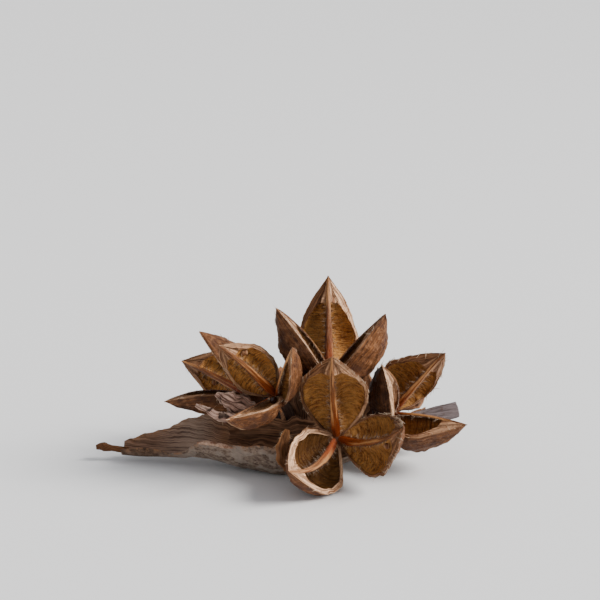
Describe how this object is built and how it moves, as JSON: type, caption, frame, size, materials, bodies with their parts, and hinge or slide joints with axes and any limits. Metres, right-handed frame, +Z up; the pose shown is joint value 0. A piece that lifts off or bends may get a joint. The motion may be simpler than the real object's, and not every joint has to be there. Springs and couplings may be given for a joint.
{
  "type": "dried star pod",
  "caption": "Dried seed head: a boat-shaped bract and cut stalk carrying woody capsules, each split into three spread valves like a star.",
  "frame": {"origin": "centre of the bounding box in plan, on the surface that the pod rests on", "axes": "+X along the pod's length, from the bract's beaked tip to the cut stalk; +Z up, away from the surface; the face shown in the picture looks to -Y"},
  "size_m": [0.2478, 0.1692, 0.123],
  "materials": {
    "capsule_shell": "dry, fibrous, golden inside the seed chambers",
    "bract": "dry, grey-brown, lengthwise fibres",
    "stalk": "dry, grey-purple bark"
  },
  "bodies": {
    "root": {"spathe": "bract", "stalk": "stalk", "capsule_top": "capsule_shell", "capsule_front": "capsule_shell", "capsule_left": "capsule_shell", "capsule_far_left": "capsule_shell", "capsule_right": "capsule_shell", "capsule_rear_left": "capsule_shell", "capsule_rear_right": "capsule_shell", "bract_upper": "bract", "bract_lower": "bract", "bract_inner": "bract", "bract_middle": "bract", "bract_right": "bract", "bract_front": "bract"}
  },
  "joints": []
}
